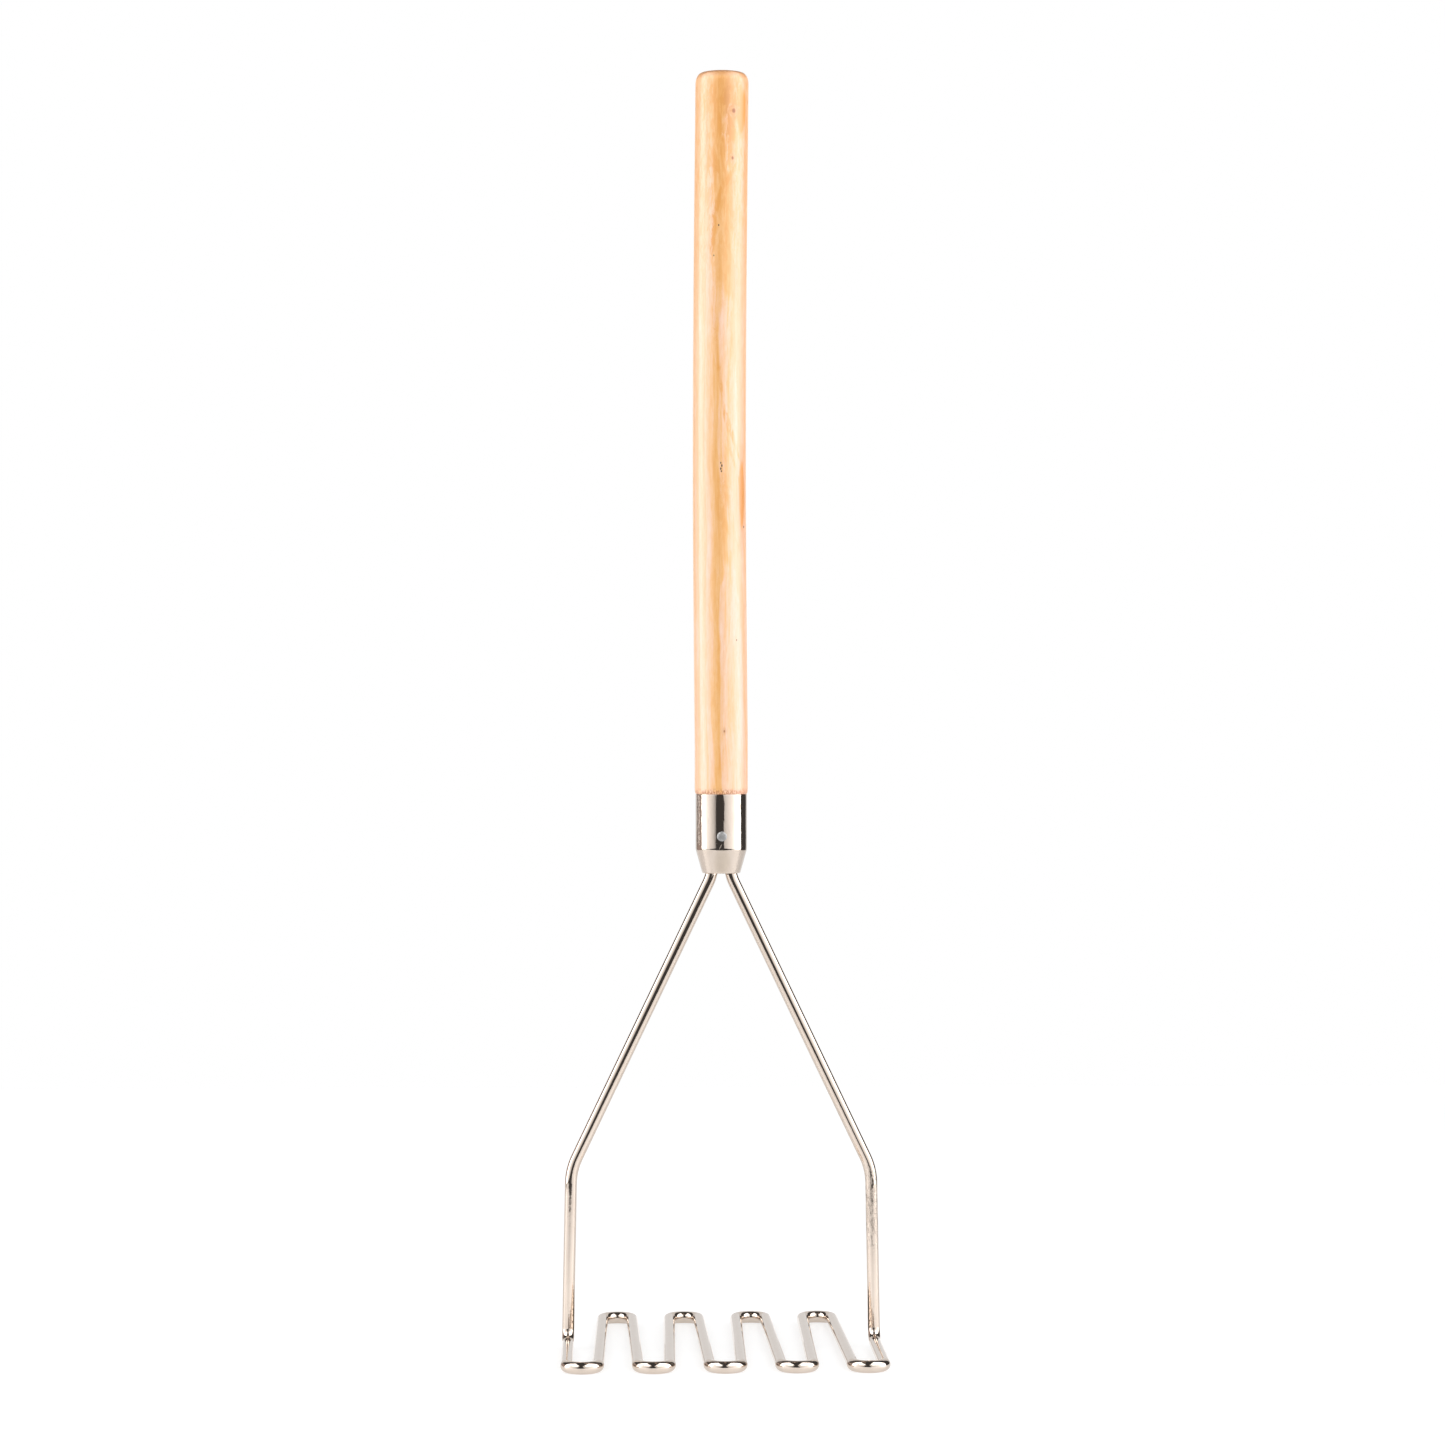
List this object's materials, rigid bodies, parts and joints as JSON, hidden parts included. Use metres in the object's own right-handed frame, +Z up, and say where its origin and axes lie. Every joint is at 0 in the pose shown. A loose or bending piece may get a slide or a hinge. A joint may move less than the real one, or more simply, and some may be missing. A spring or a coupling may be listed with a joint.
{
  "type": "potato masher",
  "caption": "Long-handled masher: a round wooden handle, a plated ferrule and a square zigzag face bent from one thick wire.",
  "frame": {"origin": "on the surface that the mashing face rests on, under the handle's axis, which is the centre of the face", "axes": "+Z up along the handle, +X across the face from stem to stem, -Y towards the side with the larger number of wire loops"},
  "size_m": [0.1524, 0.1524, 0.6096],
  "materials": {
    "wood": "clear satin lacquer on pale close-grained hardwood",
    "plated_steel": "bright nickel plating, slightly warm",
    "rivet_steel": "dull steel"
  },
  "bodies": {
    "root": {"handle": "wood", "ferrule": "plated_steel", "wire_head": "plated_steel", "rivet": "rivet_steel"}
  },
  "joints": []
}
